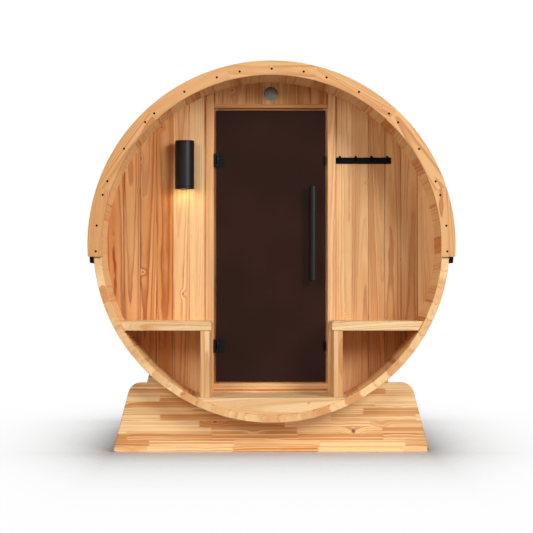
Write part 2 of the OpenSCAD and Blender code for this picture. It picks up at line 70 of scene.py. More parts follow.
# Sizes of the end walls
FRONT_WALL, REAR_WALL = extent("front_wall_left", Y), extent("rear_wall", Y)
WALL_R = extent("front_wall_over_door", Z)[1] - AXIS
WALL_BOARD, FRIEZE_BOARD, VENT_HOLE_R = 0.1022, 0.0503, 0.0353
HALF_FRIEZE_COUNT, UNDER_COUNT, REAR_COUNT = 7, 8, 20
V_JOINT, FRIEZE_JOINT, UNDER_JOINT = 0.002, 0.0022, 0.0012

# Sizes of the door frame
DOOR_GAP, STOP_GAP, SILL_TOE, FRAME_EASE = 0.014, 0.008, 0.020, 0.002
GLASS_Z = extent("door_glass", Z)
STOP_IN, JAMB_OUT = extent("right_jamb", X)
JAMB_IN = extent("door_header", X)[1]
FRAME_Y, STOP_Y = extent("right_jamb", Y), extent("door_glass", Y)[1] + STOP_GAP
HEADER_STOP_Z, HEADER_TOP = extent("door_header", Z)
HEADER_Z = (GLASS_Z[1] + DOOR_GAP, HEADER_TOP)
FLOOR_Z, SILL_STOP_Z = extent("door_sill", Z)
SILL_Z = (FLOOR_Z + SILL_TOE, GLASS_Z[0] - DOOR_GAP)

# Sizes of the floors and benches
PORCH_COUNT, CABIN_COUNT, PLANK_GAP = 4, 8, 0.006
PORCH_EASE, CABIN_EASE, LEG_EASE = 0.001, 0.003, 0.0012
PLANK_Z = extent("porch_floor", Z)
PORCH_Y, RISER_Y, CABIN_Y = (extent(node, Y) for node in ("porch_floor", "porch_riser", "cabin_floor"))
RISER_MIDDLE_Z = 0.28
SEAT_COUNT, SEAT_ROUND, CHIN_ROUND, SEAT_EASE = 4, 0.022, 0.012, 0.003
TUCK_ROUND, TUCK_EASE = 0.0005, 0.0002
SEAT_X = extent("right_bench_top", X)[0]
SEAT_Y, SEAT_Z = extent("right_bench_top", Y), extent("right_bench_top", Z)
LEG_X, LEG_Y = extent("right_bench_side", X), extent("right_bench_side", Y)

# Sizes of the fascia
FASCIA_COUNT, FASCIA_SPAN, FASCIA_RINGS = 7, 28.7, 19
FASCIA_LAP, FASCIA_EASE, FASCIA_JOINT = 0.008, 0.003, 0.0001
FASCIA_R = (STAVE_INNER - FASCIA_LAP, extent("front_fascia", Z)[1] - AXIS)
FASCIA_LOW, FASCIA_END = extent("front_fascia", Z)[0], extent("rear_fascia", Y)[1]
SCREW_R, SCREW_RISE, SCREW_RING = 0.0068, 0.0006, 1.049
SCREW_ANGLES = (0, 10.5, 18.2, 29.8, 41.9, 46, 57.1, 69, 73.7, 83.9, 92.3)

# Sizes of the roof
BUTT_T, HEAD_T, LAYER_T = 0.008, 0.004, 0.0025
ROOF_R = extent("roof_shingles", Z)[1] - AXIS - BUTT_T
COURSE_COUNT, COURSE_START, COURSE_SPAN = 13, -1.6, 6.8
TAB_L, TAB_GAP, TAB_LEAST, TAB_STRAY = 0.305, 0.006, 0.02, 0.003
STRIP_EASE, TAB_EASE = 0.0004, 0.0005
RIDGE_HALF, CAP_COUNT, CAP_GAP = 3.2, 9, 0.003
CAP_EASE_X, CAP_EASE_Z = 0.002, 0.001

# Sizes of the saddles
SADDLE_Y = (extent("front_saddle", Y), extent("rear_saddle", Y))
SADDLE_BASE, SADDLE_H = extent("front_saddle", X)[1], extent("front_saddle", Z)[1]
SADDLE_TOP, SADDLE_CORNER, SADDLE_FOOT, SADDLE_EASE = 0.855, 0.075, 0.016, 0.0045
SADDLE_HOLLOW = STAVE_OUTER / math.cos(math.pi / STAVE_COUNT) + JOINT_GAP

# Sizes of the lamp, the vent and the hinges
LAMP_R, LAMP_BORE = 0.0595, 0.0565
LAMP_X, LAMP_Y = extent("lamp_housing", X)[1] - LAMP_R, sum(extent("lamp_housing", Y)) / 2
LAMP_Z, LENS_TOP = extent("lamp_housing", Z), extent("lamp_lens", Z)[1]
LAMP_TOP_EASE, LAMP_FOOT_EASE, LAMP_BORE_EASE, LAMP_CORE = 0.002, 0.0015, 0.001, 0.0005
GROOVE_DEPTH, GROOVE_STEPS = 0.0012, (0.0095, 0.0105, 0.0125, 0.0135)
BULB_RISE, BULB_R = 0.004, 0.02
VENT_Z = sum(extent("vent_cover", Z)) / 2
VENT_DISC_R, VENT_RISE, VENT_EDGE, VENT_SINK = 0.0366, 0.004, 0.001, 0.0002
VENT_Y = extent("vent_cover", Y)[0] + VENT_SINK
HINGE_H, HINGE_COVER_HALF, HINGE_COVER_EASE = 0.083, 0.0212, 0.0008
HINGE_Z = [end - side * HINGE_H / 2 for end, side in zip(extent("hinge_brackets", Z), (-1, 1))]
HINGE_COVER_X, HINGE_COVER_Y = (-0.3522, -0.3415), (-0.8238, -0.8165)


def srgb(red, green, blue):
    """A colour as it shows on a screen, 0 to 255, as linear values."""
    def linear(c):
        return c / 12.92 if c <= 0.04045 else ((c + 0.055) / 1.055) ** 2.4
    return (*(linear(c / 255) for c in (red, green, blue)), 1.0)


class Graph:
    """A material with short names for its shader nodes."""

    def __init__(self, name, **constants):
        self.material = bpy.data.materials.new(name)
        self.material.use_nodes = True
        self.tree = self.material.node_tree
        self.shader = self.tree.nodes["Principled BSDF"]
        for label, value in constants.items():
            self.shader.inputs[label.replace("_", " ")].default_value = value

    def put(self, value, socket):
        if isinstance(value, bpy.types.NodeSocket):
            self.tree.links.new(value, socket)
        else:
            socket.default_value = value

    def node(self, kind, inputs=(), **settings):
        node = self.tree.nodes.new("ShaderNode" + kind)
        for label, value in settings.items():
            setattr(node, label, value)
        pairs = inputs.items() if isinstance(inputs, dict) else enumerate(inputs)
        for label, value in pairs:
            self.put(value, node.inputs[label])
        return node

    def math(self, operation, *values):
        return self.node("Math", values, operation=operation).outputs[0]

    def add(self, a, b):
        return self.math("ADD", a, b)

    def times(self, a, b):
        return self.math("MULTIPLY", a, b)

    def scaled(self, value, gain, shift):
        return self.math("MULTIPLY_ADD", value, gain, shift)

    def vector(self, x, y, z):
        return self.node("CombineXYZ", (x, y, z)).outputs[0]

    def split(self, vector):
        return self.node("SeparateXYZ", (vector,)).outputs[:3]

    def step(self, value, low, high, start=0.0, end=1.0):
        inputs = (value, low, high, start, end)
        return self.node("MapRange", inputs, interpolation_type="SMOOTHSTEP").outputs[0]

    def noise(self, vector, scale=1.0, detail=2.0, rough=0.5):
        inputs = {"Vector": vector, "Scale": scale, "Detail": detail, "Roughness": rough}
        return self.node("TexNoise", inputs).outputs[0]

    def chance(self, x, y=0.0):
        inputs = {"Vector": self.vector(x, y, 0.0)}
        return self.node("TexWhiteNoise", inputs, noise_dimensions="2D").outputs

    def mix(self, share, a, b):
        return self.node("Mix", {0: share, 6: a, 7: b}, data_type="RGBA").outputs[2]

    def attribute(self, name, output):
        return self.node("Attribute", attribute_name=name).outputs[output]

    def places(self):
        return self.node("TexCoord").outputs["Object"]

    def dress(self, colour=None, rough=None, height=None, depth=0.001, strength=0.3):
        if colour is not None:
            self.put(colour, self.shader.inputs["Base Color"])
        if rough is not None:
            self.put(rough, self.shader.inputs["Roughness"])
        if height is not None:
            bump = self.node("Bump", {"Height": height, "Distance": depth, "Strength": strength})
            self.put(bump.outputs["Normal"], self.shader.inputs["Normal"])
        return self.material


KNOT_BROWN, KNOTS_PER_M = srgb(112, 58, 28), 2.3
PITH_DEPTH = 0.05


def glued(g, x, y, z, width, length):
    """Places in the strips of an edge-glued panel, each strip's tone, and the seams between its rows."""
    rows = g.times(y, 1 / width)
    row, offset = g.math("FLOOR", rows), g.add(g.math("FRACT", rows), -0.5)
    fingers = g.times(g.math("PINGPONG", y, width / 8), 2.2)
    run = g.add(g.times(g.add(x, fingers), 1 / length), g.times(g.chance(row, 3.0)[0], 9.0))
    lot = g.split(g.chance(row, g.math("FLOOR", run))[1])
    x = g.add(x, g.times(lot[0], 41.0))
    y = g.add(g.times(offset, width), g.scaled(lot[1], 0.05, 0.05))
    z = g.add(z, g.scaled(lot[2], 0.05, -0.02))
    return x, y, z, g.times(lot[0], 0.9), g.step(g.math("ABSOLUTE", offset), 0.478, 0.492)


def wood(name, pale, deep, late, ring=0.0065, contrast=0.7, streak=0.5, knots=0.011,
         strips=None, turned=None):
    """Sawn softwood: growth rings round a pith, fibres along it, knots, and a tone for each board.

    ring is the width of a growth ring, and knots the size of the knots. strips gives the width and length
    of the pieces in an edge-glued panel, and turned the axes and middle of a piece without a log."""
    g = Graph(name, Specular_IOR_Level=0.32)
    if turned:
        axes, middle = turned
        spots = g.split(g.places())
        x, y, z = (g.add(spots[axis], -at) for axis, at in zip(axes, middle))
        z = g.add(z, PITH_DEPTH)
        tone = 0.5
    else:
        x, y, z = g.split(g.attribute("grain", "Vector"))
        tone = g.attribute("tone", "Fac")
    if strips:
        x, y, z, tone, seam = glued(g, x, y, z, *strips)

    def drawn(along, across, **kind):
        """Noise that is drawn out along the pith."""
        return g.noise(g.vector(g.times(x, along), g.times(y, across), g.times(z, across)), **kind)

    # Knots, which push the rings aside
    cells = {"Vector": g.vector(x, y, 0.0), "Scale": KNOTS_PER_M}
    knot = g.node("TexVoronoi", cells, voronoi_dimensions="2D").outputs["Distance"]
    near = g.times(knot, 1 / KNOTS_PER_M)
    bend = g.math("EXPONENT", g.times(g.math("POWER", g.times(near, 1 / (knots * 3)), 2.0), -1.0))
    # Rings, which end in a dark line of late wood
    reach = g.node("VectorMath", (g.vector(0.0, y, z),), operation="LENGTH").outputs["Value"]
    reach = g.add(g.add(reach, g.scaled(drawn(0.9, 8.0), 0.018, -0.009)), g.times(bend, knots * 1.6))
    reach = g.add(reach, g.scaled(drawn(6.0, 25.0), 0.006, -0.003))
    years = g.noise(g.vector(g.times(reach, 22.0), 0.0, 0.0))
    turns = g.add(g.times(reach, 1 / ring), g.times(years, 3.0))
    part = g.math("FRACT", turns)
    dark = g.times(g.step(part, 0.4, 0.92), g.step(part, 0.92, 1.0, 1.0, 0.0))
    dark = g.times(dark, g.scaled(g.chance(g.math("FLOOR", turns))[0], 0.7, 0.3))
    fade = g.noise(g.vector(g.times(x, 1.3), g.times(reach, 30.0), 0.0))
    dark = g.times(dark, g.times(g.step(fade, 0.32, 0.62, 0.35, 1.0), g.scaled(tone, 0.7, 0.45)))
    # Colour, from the board's tone, bands of rings, clouds, fibres and knots
    bands = g.step(g.noise(g.vector(g.times(reach, 75.0), g.times(x, 0.4), 0.0)), 0.3, 0.7)
    fibre = drawn(7.0, 420.0, detail=3.0, rough=0.6)
    depth = g.add(g.scaled(tone, 0.9, -0.1), g.scaled(bands, streak, -streak / 2))
    depth = g.add(depth, g.scaled(drawn(2.0, 10.0), 0.5, -0.15))
    colour = g.mix(g.step(depth, 0.0, 1.0), pale, deep)
    colour = g.mix(g.times(dark, contrast), colour, late)
    colour = g.mix(g.step(fibre, 0.5, 0.85, 0.0, 0.4), colour, late)
    heart = g.step(near, knots * 0.45, knots * 0.95, 1.0, 0.0)
    colour = g.mix(g.times(heart, 0.85), colour, KNOT_BROWN)
    if strips:
        colour = g.mix(g.times(seam, 0.35), colour, late)
    relief = g.add(g.times(dark, 0.2), fibre)
    return g.dress(colour, g.scaled(fibre, 0.22, 0.39), relief, 0.0007, 0.35)


def shingle(name):
    """Mineral granules on roofing felt, each tab in its own shade."""
    g = Graph(name, Specular_IOR_Level=0.25)
    spot = g.places()
    grit = g.node("TexVoronoi", {"Vector": spot, "Scale": 420.0})
    patch = g.noise(spot, 14.0, 3.0)
    shade = g.scaled(g.attribute("tone", "Fac"), 0.5, 0.1)
    shade = g.add(shade, g.scaled(patch, 0.5, -0.25))
    colour = g.mix(g.step(shade, 0.0, 0.8), srgb(44, 44, 46), srgb(78, 76, 74))
    speck = g.step(g.split(grit.outputs["Color"])[0], 0.55, 1.0, 0.0, 0.6)
    colour = g.mix(speck, colour, srgb(132, 128, 122))
    return g.dress(colour, 0.92, grit.outputs["Distance"], 0.002, 0.6)


def coated(name, colour, rough, gloss):
    """Metal with a fine-textured powder coat."""
    g = Graph(name, Specular_IOR_Level=gloss)
    spot = g.places()
    texture = g.noise(spot, 900.0, 2.0)
    cloud = g.noise(spot, 25.0, 2.0)
    tint = g.mix(g.step(cloud, 0.3, 0.7), colour, tuple(c * 1.5 for c in colour[:3]) + (1.0,))
    return g.dress(tint, g.scaled(cloud, 0.14, rough - 0.07), texture, 0.0003, 0.25)


def brushed(name, colour, stretch):
    """Bare steel with brush marks across the stretched axes."""
    g = Graph(name, Metallic=1.0)
    spot = g.node("VectorMath", (g.places(), stretch), operation="MULTIPLY").outputs[0]
    marks = g.noise(spot, 1.0, 3.0, 0.7)
    tint = g.mix(g.step(marks, 0.3, 0.75), tuple(c * 0.55 for c in colour[:3]) + (1.0,), colour)
    return g.dress(tint, g.scaled(marks, 0.3, 0.2), marks, 0.0003, 0.3)


def glass(name):
    """Dark bronze safety glass, with a faint waviness."""
    g = Graph(name, IOR=1.5, Specular_IOR_Level=0.16, Specular_Tint=srgb(255, 205, 190))
    wave = g.noise(g.places(), 3.0, 1.0)
    colour = g.mix(g.step(wave, 0.3, 0.7), srgb(38, 20, 16), srgb(46, 25, 20))
    return g.dress(colour, g.scaled(wave, 0.04, 0.05), wave, 0.0005, 0.05)


def lit(name, colour, strength):
    """A frosted lamp lens."""
    g = Graph(name, Base_Color=colour, Emission_Color=colour, Emission_Strength=strength)
    frost = g.noise(g.places(), 600.0, 2.0)
    return g.dress(None, g.scaled(frost, 0.3, 0.4), frost, 0.0004, 0.3)


PALE, DEEP, LATE = srgb(248, 206, 150), srgb(216, 146, 80), srgb(176, 98, 42)
stave_wood = wood("stave_wood", srgb(254, 212, 154), srgb(214, 140, 76), srgb(172, 94, 40),
                  streak=0.8, knots=0.003)
fascia_wood = wood("fascia_wood", srgb(236, 186, 130), srgb(212, 146, 82), srgb(174, 96, 40),
                   ring=0.0085, contrast=1.0, streak=0.25, knots=0.003)
wall_wood = wood("wall_wood", srgb(250, 206, 150), srgb(206, 134, 70), srgb(160, 80, 30),
                 ring=0.0085, contrast=1.0, streak=0.4, knots=0.007)
calm_wood = wood("calm_wood", srgb(246, 200, 144), srgb(184, 122, 68), srgb(150, 84, 38),
                 ring=0.0075, contrast=0.6, streak=0.3, knots=0.004)
floor_wood = wood("floor_wood", srgb(249, 209, 156), DEEP, LATE, ring=0.009, contrast=0.8, knots=0.003)
panel_wood = wood("panel_wood", srgb(254, 212, 156), srgb(212, 142, 76), srgb(158, 84, 34),
                  ring=0.009, contrast=0.85, streak=0.8, knots=0.017, strips=(0.039, 0.52))
seat_wood = wood("seat_wood", srgb(255, 225, 175), srgb(234, 172, 106), LATE,
                 ring=0.01, contrast=1.3, knots=0.004)
HANDLE_GRAIN, BEARER_GRAIN = ((Z, X, Y), (1.0, 0.261, -0.736)), ((X, Z, Y), (0.0, 0.28, 0.0))
handle_wood = wood("handle_wood", PALE, DEEP, LATE, contrast=0.6, knots=0.002, turned=HANDLE_GRAIN)
bearer_wood = wood("bearer_wood", PALE, DEEP, LATE, contrast=0.6, turned=BEARER_GRAIN)
roofing = shingle("roofing")
satin_black = coated("satin_black", srgb(10, 10, 11), 0.42, 0.26)
matte_black = coated("matte_black", srgb(5, 5, 5), 0.5, 0.07)
hinge_black = coated("hinge_black", srgb(11, 11, 11), 0.3, 0.14)
screw_black = coated("screw_black", srgb(9, 7, 6), 0.8, 0.04)
band_steel = brushed("band_steel", srgb(190, 190, 192), (40.0, 900.0, 40.0))
vent_steel = brushed("vent_steel", srgb(122, 117, 111), (75.0, 75.0, 40.0))
tinted_glass = glass("tinted_glass")
lamp_glow = lit("lamp_glow", srgb(255, 214, 150), 2.0)


def on_circle(radius, angle, centre=(0.0, AXIS)):
    """A point in X, Z round a centre, clockwise from straight up."""
    turn = math.radians(angle)
    return centre[0] + radius * math.sin(turn), centre[1] + radius * math.cos(turn)


def arc(radius, start, end, count, centre=(0.0, AXIS)):
    """Points in X, Z from one angle to another."""
    return [on_circle(radius, angle, centre) for angle in np.linspace(start, end, count)]


def around(outline, angle):
    """An outline in tangent and radius, turned clockwise by radians round the barrel's axis, in X, Z."""
    s, c = math.sin(angle), math.cos(angle)
    return [(u * c + v * s, AXIS - u * s + v * c) for u, v in outline]


def rectangle(x0, x1, z0, z1):
    """The outline of a rectangle in X, Z."""
    return [(x0, z0), (x1, z0), (x1, z1), (x0, z1)]


def flipped(outline):
    """The outline on the other side of the middle."""
    return [(-x, z) for x, z in reversed(outline)]


def on_side(outline, side):
    """An outline of the right side, flipped for the left side."""
    return outline if side > 0 else flipped(outline)


def eased(outline, cut, least=65):
    """The outline with a flat across each sharp corner."""
    points, limit = np.asarray(outline, float), math.cos(math.radians(least))
    result = []
    for before, here, after in zip(np.roll(points, 1, 0), points, np.roll(points, -1, 0)):
        back, ahead = (p / np.linalg.norm(p) for p in (before - here, after - here))
        sharp = -back @ ahead < limit
        result += [here + cut * back, here + cut * ahead] if sharp else [here]
    return np.array(result)


def inset(outline, depth):
    """The closed outline, moved inwards."""
    after = np.roll(outline, -1, 0)
    area = np.sum(outline[:, 0] * after[:, 1] - after[:, 0] * outline[:, 1])
    edge = (after - outline) / np.linalg.norm(after - outline, axis=1)[:, None]
    inwards = np.sign(area) * np.stack((-edge[:, 1], edge[:, 0]), 1)
    before = np.roll(inwards, 1, 0)
    return outline + depth * (inwards + before) / (1 + np.sum(inwards * before, 1))[:, None]


def loft(rings):
    """A closed solid through rings that have equally many points."""
    count = len(rings[0])
    points = np.concatenate(rings)
    faces = [tuple(range(count)), tuple(range(len(points) - count, len(points)))]
    for low in range(0, len(points) - count, count):
        for i in range(count):
            j = (i + 1) % count
            faces.append((low + i, low + j, low + count + j, low + count + i))
    return points, faces


def bar(outline, low, high, ease):
    """An outline in X, Z drawn out along Y, with eased corners and ends."""
    full = eased(outline, ease)
    small = inset(full, ease)
    layers = ((small, low), (full, low + ease), (full, high - ease), (small, high))
    return loft([np.insert(ring, 1, y, axis=1) for ring, y in layers])


def lathe(profile, centre, axis, count=48):
    """Radius and height pairs turned round the Y or Z axis through a centre."""
    turns = np.linspace(0, 2 * math.pi, count, endpoint=False)
    rings = []
    for radius, height in profile:
        a, b, h = radius * np.cos(turns), radius * np.sin(turns), np.full(count, height)
        rings.append(np.stack((a, b, h) if axis == Z else (a, h, b), 1) + centre)
    return loft(rings)


SHARP_ANGLE = 30


class Piece:
    """Solids joined in one mesh. Each point keeps its place in the log that its board was sawn from."""

    def __init__(self):
        self.points, self.faces, self.grain, self.tone = [], [], [], []
        self.count = 0

    def add(self, solid, grain=None, tone=None):
        points, faces = solid
        self.points.append(points)
        self.faces += [tuple(i + self.count for i in face) for face in faces]
        self.grain.append(points if grain is None else grain(points))
        self.tone.append(np.full(len(points), rng.uniform() if tone is None else tone))
        self.count += len(points)

    def build(self, name, material, slot, nodes=(), body="sauna"):
        mesh = bpy.data.meshes.new(name)
        mesh.from_pydata(np.concatenate(self.points).tolist(), [], self.faces)
        work = bmesh.new()
        work.from_mesh(mesh)
        bmesh.ops.recalc_face_normals(work, faces=work.faces)
        work.to_mesh(mesh)
        work.free()
        grain = mesh.attributes.new("grain", "FLOAT_VECTOR", "POINT")
        grain.data.foreach_set("vector", np.concatenate(self.grain).astype(np.float32).ravel())
        tone = mesh.attributes.new("tone", "FLOAT", "POINT")
        tone.data.foreach_set("value", np.concatenate(self.tone).astype(np.float32))
        mesh.shade_smooth()
        mesh.set_sharp_from_angle(angle=math.radians(SHARP_ANGLE))
        mesh.materials.append(material)
        piece = bpy.data.objects.new(name, mesh)
        scene.collection.objects.link(piece)
        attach(piece, body)
        if nodes:
            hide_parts(*nodes)


# Where boards are sawn from a log: flat ones lie below its pith, and the others beside it
FLAT_SHARE, LEAN, LOG_RUN = 0.65, 0.022, 60
NEAR_PITH, BELOW_PITH, BESIDE_PITH, LEVEL_PITH = (-0.035, 0.035), (0.05, 0.10), (0.08, 0.15), (-0.03, 0.03)


def log(along, across, centre, flat=FLAT_SHARE, lean=LEAN):
    """Places in a log: along its pith, and sideways from it in two directions.

    flat is the share of boards that are sawn flat, and lean the most that a pith strays from its board."""
    through = np.cross(along, across)
    if rng.uniform() < flat:
        side, deep = rng.uniform(*NEAR_PITH), rng.choice((-1, 1)) * rng.uniform(*BELOW_PITH)
    else:
        side, deep = rng.choice((-1, 1)) * rng.uniform(*BESIDE_PITH), rng.uniform(*LEVEL_PITH)
    start, stray = rng.uniform(0, LOG_RUN), rng.choice((-1, 1), 2) * rng.uniform(0.2 * lean, lean, 2)

    def places(points):
        near = points - np.asarray(centre)
        run = near @ along
        y = near @ across + side + stray[0] * run
        z = near @ through + deep + stray[1] * run
        return np.stack((run + start, y, z), 1)
    return places


def panel(along, across, shift):
    """Places on an edge-glued panel, whose strips lie across it."""
    axes = np.stack((along, across, np.cross(along, across)), 1)
    return lambda points: points @ axes + np.asarray(shift)


# Camera, with its lens in millimetres
CAMERA_PLACE, CAMERA_TILT, CAMERA_TURN = (-0.125, -10.80, 1.028), 90.597, -0.563
SENSOR_WIDTH, FOCAL_LENGTH = 36.0, 108.3
camera = bpy.data.cameras.new("camera")
camera.sensor_width, camera.lens = SENSOR_WIDTH, FOCAL_LENGTH
scene.camera = bpy.data.objects.new("camera", camera)
scene.collection.objects.link(scene.camera)
scene.camera.location = CAMERA_PLACE
scene.camera.rotation_euler = (math.radians(CAMERA_TILT), 0.0, math.radians(CAMERA_TURN))


# Barrel, of staves in four groups, each with its first and last stave and its shade, a shift of tone that
# is painted light: the left staves are painted paler, and the right and top staves darker, as if lit from
# the right
STAVE_GROUPS_AND_PAINTED_LIGHT = (("top", -8, 8, 0.1), ("right", 9, 23, 0.12),
                ("bottom", 24, 40, 0.0), ("left", 41, 55, -0.36))
GOLDEN = (math.sqrt(5) - 1) / 2
STAVE_FLAT, TONE_RANGE, TONE_LOW = 0.3, 1.1, -0.15
END_RINGS, END_RANGE, END_LOW = (1.0, 0.06, 0.06), 0.32, 0.28


def stave_section():
    """A stave across its length: a bead on one edge and a cove on the other, in tangent and radius."""
    half = math.pi / STAVE_COUNT
    middle = (STAVE_OUTER + STAVE_INNER) / 2
    rise, run = np.array((math.sin(half), math.cos(half))), np.array((math.cos(half), -math.sin(half)))

    def edge(centre, radius, bulge):
        opening = math.acos((abs(centre) - JOINT_GAP / 2 * bulge) / radius)
        rounds = []
        for t in np.linspace(-opening, opening, 9):
            up, out = middle + radius * math.sin(t), centre + bulge * radius * math.cos(t)
            rounds.append(rise * up + run * out)
        ends = [rise * (r / math.cos(half)) - run * JOINT_GAP / 2 for r in (STAVE_INNER, STAVE_OUTER)]
        return [ends[0], *rounds, ends[1]]
    bead = edge(BEAD_RISE - BEAD_R, BEAD_R, 1)
    cove = edge(BEAD_R - BEAD_RISE - JOINT_GAP, BEAD_R + JOINT_GAP / 2, -1)
    return [tuple(p) for p in bead] + [(-u, v) for u, v in reversed(cove)]


def smooth_ends(places, at_end):
    """Places in a log, with wide soft rings on the sanded ends."""
    return lambda points: places(points) * np.where(at_end[:, None], END_RINGS, 1.0)


section = stave_section()
for name, first, last, shade in STAVE_GROUPS_AND_PAINTED_LIGHT:
    staves = Piece()
    for i in range(first, last + 1):
        angle = i * 2 * math.pi / STAVE_COUNT
        across = (math.cos(angle), 0.0, -math.sin(angle))
        centre = (STAVE_INNER * math.sin(angle), 0.0, AXIS + STAVE_INNER * math.cos(angle))
        solid = bar(around(section, angle), -BARREL_END, BARREL_END, STAVE_EASE)
        at_end = np.abs(solid[0][:, Y]) > BARREL_END - TINY
        grain = smooth_ends(log(BACK, across, centre, STAVE_FLAT), at_end)
        # The group's shade is painted light: paler on the left, darker on the right and top
        tone = TONE_RANGE * (GOLDEN * i % 1) ** 2 + TONE_LOW + shade
        staves.add(solid, grain, np.where(at_end, END_RANGE * tone + END_LOW, tone))
    staves.build(name + "_stave_boards", stave_wood, "stave_wood", [name + "_staves"])


# End walls, of boards that stand upright in a groove of the staves
# Each board's tone is partly its own and partly painted shade: the third board on the left is painted deep
# where the lamp's shadow falls, and the middle boards on the right are painted deep where the wall lies in
# shade
WALL_TONES_AND_PAINTED_SHADE = {"left": (0.12, 0.44, 0.75, 0.72, 0.7, 0.75), "right": (0.34, 0.52, 0.76, 0.74, 0.54, 0.3)}
FRIEZE_TONES = (0.3, 0.7)
PALE_TONE, PALE_FLAT, DEEP_FLAT = 0.45, 0.4, 1.0


def wall_board(x0, x1, sill=0.0):
    """A board between two edges, from the sill or the staves below up to the staves above."""
    lift = np.arcsin(np.clip((x0 / WALL_R, x1 / WALL_R), -1, 1))
    columns = WALL_R * np.sin(np.linspace(*lift, 9))
    top = [(x, AXIS + math.sqrt(max(WALL_R**2 - x**2, 0))) for x in columns]
    foot = [(x, max(sill, 2 * AXIS - z)) for x, z in top]
    outline = foot + top[::-1]
    return [p for p, q in zip(outline, outline[1:] + outline[:1]) if math.dist(p, q) > TINY]


def upright(outline, flat=FLAT_SHARE):
    """The log of an upright board."""
    x, z = np.mean(outline, 0)
    return log(UP, RIGHT, (x, FRONT_WALL[0], z), flat)


for (side, name), material in zip(SIDES, (wall_wood, calm_wood)):
    boards = Piece()
    for k, tone in enumerate(WALL_TONES_AND_PAINTED_SHADE[name]):
        inner = JAMB_OUT + k * WALL_BOARD
        outer = WALL_R if k == len(WALL_TONES_AND_PAINTED_SHADE[name]) - 1 else inner + WALL_BOARD
        outline = on_side(wall_board(inner, outer, FLOOR_Z), side)
        grain = upright(outline, DEEP_FLAT if tone > PALE_TONE else PALE_FLAT)
        boards.add(bar(outline, *FRONT_WALL, V_JOINT), grain, tone)
    boards.build(f"front_wall_{name}_boards", material, "wall_wood", ["front_wall_" + name])

frieze = Piece()
for k in range(-HALF_FRIEZE_COUNT, HALF_FRIEZE_COUNT):
    outline = wall_board(k * FRIEZE_BOARD, (k + 1) * FRIEZE_BOARD, HEADER_TOP)
    if k in (-1, 0):
        outline = wall_board(0.0, FRIEZE_BOARD, HEADER_TOP)
        rim = arc(VENT_HOLE_R, 0, 180, 13, (0.0, VENT_Z))
        outline = [p for p in outline if p[0] > 0 or p[1] < VENT_Z] + [outline[-1]] + rim
        outline = outline if k == 0 else flipped(outline)
    frieze.add(bar(outline, *FRONT_WALL, FRIEZE_JOINT), upright(outline), rng.uniform(*FRIEZE_TONES))
frieze.build("front_wall_over_door_boards", wall_wood, "wall_wood", ["front_wall_over_door"])

below = Piece()
half_width = math.sqrt(WALL_R**2 - (AXIS - FLOOR_Z) ** 2)
edges = np.linspace(-half_width, half_width, UNDER_COUNT + 1)
for k in range(UNDER_COUNT):
    columns = np.linspace(edges[k], edges[k + 1], 6)
    outline = [(x, AXIS - math.sqrt(WALL_R**2 - x**2)) for x in columns]
    outline = outline[k == 0:len(outline) - (k == UNDER_COUNT - 1)]
    outline += [(columns[-1], FLOOR_Z), (columns[0], FLOOR_Z)]
    below.add(bar(outline, *FRONT_WALL, UNDER_JOINT), upright(outline))
below.build("front_wall_under_door_boards", wall_wood, "wall_wood", ["front_wall_under_door"])

boards = Piece()
for k in range(REAR_COUNT):
    outline = wall_board(*(WALL_R * (2 * j / REAR_COUNT - 1) for j in (k, k + 1)))
    boards.add(bar(outline, *REAR_WALL, V_JOINT), upright(outline))
boards.build("rear_wall_boards", wall_wood, "wall_wood", ["rear_wall"])


# Door frame, with a post and a stop behind the glass on each side
JAMB_TONES = {"left": 0.5, "right": 0.3}
JAMB_FLAT = 0.3


def box_of(piece, x, y, z, along, across, ease=FRAME_EASE, tone=None, flat=FLAT_SHARE):
    """Add a straight board to a piece, between its ends along each axis."""
    centre = [sum(ends) / 2 for ends in (x, y, z)]
    piece.add(bar(rectangle(*x, *z), *y, ease), log(along, across, centre, flat), tone)


for side, name in SIDES:
    jamb = Piece()
    post_tops = [AXIS + math.sqrt(LINING_R**2 - x**2) for x in (JAMB_IN, JAMB_OUT)]
    post = (JAMB_IN, JAMB_OUT, FRAME_Y[0], *post_tops)
    stop = (STOP_IN, JAMB_IN, STOP_Y, HEADER_TOP, HEADER_TOP)
    for x0, x1, y0, inner_top, outer_top in (post, stop):
        outline = on_side([(x0, FLOOR_Z), (x1, FLOOR_Z), (x1, outer_top), (x0, inner_top)], side)
        grain = log(UP, RIGHT, (side * (x0 + x1) / 2, y0, AXIS), JAMB_FLAT)
        jamb.add(bar(outline, y0, FRAME_Y[1], FRAME_EASE), grain, JAMB_TONES[name])
    jamb.build(name + "_jamb_boards", wall_wood, "wall_wood", [name + "_jamb"])

FACE_Y, REBATE_Y = (FRAME_Y[0], STOP_Y), (STOP_Y, FRAME_Y[1])
WIDE, NARROW = (-JAMB_IN, JAMB_IN), (-STOP_IN, STOP_IN)
header = Piece()
# The header's boards are painted deep: painted shade for the shadow under the barrel's overhang
box_of(header, WIDE, FACE_Y, HEADER_Z, RIGHT, UP, tone=0.72)
box_of(header, NARROW, REBATE_Y, (HEADER_STOP_Z, HEADER_TOP), RIGHT, UP, tone=0.8)
header.build("door_header_boards", wall_wood, "wall_wood", ["door_header"])

sill = Piece()
box_of(sill, WIDE, FACE_Y, SILL_Z, RIGHT, UP, tone=0.45)
box_of(sill, WIDE, (FRONT_WALL[0], STOP_Y), (FLOOR_Z, SILL_Z[0]), RIGHT, UP, tone=0.2)
box_of(sill, NARROW, REBATE_Y, (FLOOR_Z, SILL_STOP_Z), RIGHT, UP, tone=0.4)
sill.build("door_sill_boards", floor_wood, "floor_wood", ["door_sill"])


# Floors
# The porch planks' pale tones, and the pale seat wood they are built in below, are painted light: their
# tops are painted brighter than the grazing lamps leave them
PAINTED_LIGHT_PORCH_TONES, RISER_TONE = (-0.1, 0.15), 0.15


def half_floor(z):
    """Half the width between the staves at a height."""
    return math.sqrt(LINING_R**2 - (AXIS - z) ** 2)


